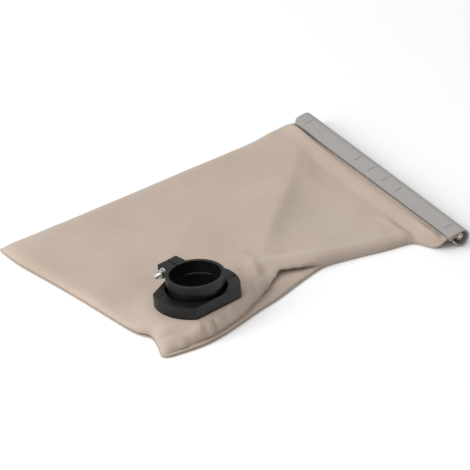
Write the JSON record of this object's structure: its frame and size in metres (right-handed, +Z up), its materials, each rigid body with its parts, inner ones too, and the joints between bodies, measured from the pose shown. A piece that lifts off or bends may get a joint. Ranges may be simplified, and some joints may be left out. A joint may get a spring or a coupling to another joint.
{
  "type": "dust bag",
  "caption": "Flat reusable cloth dust bag for a floor sander, with a clamping plastic collar near one corner and a slide-on plastic rail that shuts the far end.",
  "frame": {"origin": "under the middle of the bounding box, on the surface the bag lies on", "axes": "+X runs along the bag from its sewn end to the rail, +Y runs across it from the collar's side to the straight side, +Z up"},
  "size_m": [0.367, 0.255, 0.0463],
  "materials": {
    "cotton": "matt woven cotton",
    "seam_allowance": "matt woven cotton, cut edge",
    "black_plastic": "satin moulded",
    "grey_plastic": "satin extruded",
    "white_plastic": "satin extruded",
    "zinc": "zinc plated",
    "black_steel": "blackened"
  },
  "bodies": {
    "bag": {"upper_panel": "cotton", "lower_panel": "cotton", "back_seam": "seam_allowance", "end_seam": "seam_allowance", "front_seam": "seam_allowance", "hem_roll": "cotton", "hem_rod": "white_plastic", "collar_body": "black_plastic", "opening_patch": "cotton", "backing_ring": "black_plastic", "flange_screw_1": "black_steel", "flange_nut_1": "zinc", "flange_screw_2": "black_steel", "flange_nut_2": "zinc", "flange_screw_3": "black_steel", "flange_nut_3": "zinc", "flange_screw_4": "black_steel", "flange_nut_4": "zinc", "clamp_bolt": "zinc"},
    "rail": {"closure_rail": "grey_plastic"},
    "washer": {"clamp_washer": "zinc"},
    "nut": {"clamp_nut": "zinc"}
  },
  "joints": [
    {"name": "rail_slide", "type": "slide", "parent": "bag", "child": "rail", "axis": [0, 1, 0], "range_m": [-0.25, 0.25]},
    {"name": "washer_slide", "type": "slide", "parent": "bag", "child": "washer", "axis": [-0.9956, -0.0941, 0], "range_m": [0, 0.0024]},
    {"name": "nut_turn", "type": "hinge", "parent": "washer", "child": "nut", "pos_m": [-0.11183, -0.03544, 0.03337], "axis": [-0.9956, -0.0941, 0], "range_deg": [0, 1080]}
  ],
  "couplings": [
    {"joint": "nut_turn", "follows": "washer_slide", "rad_per_m": 7854}
  ]
}
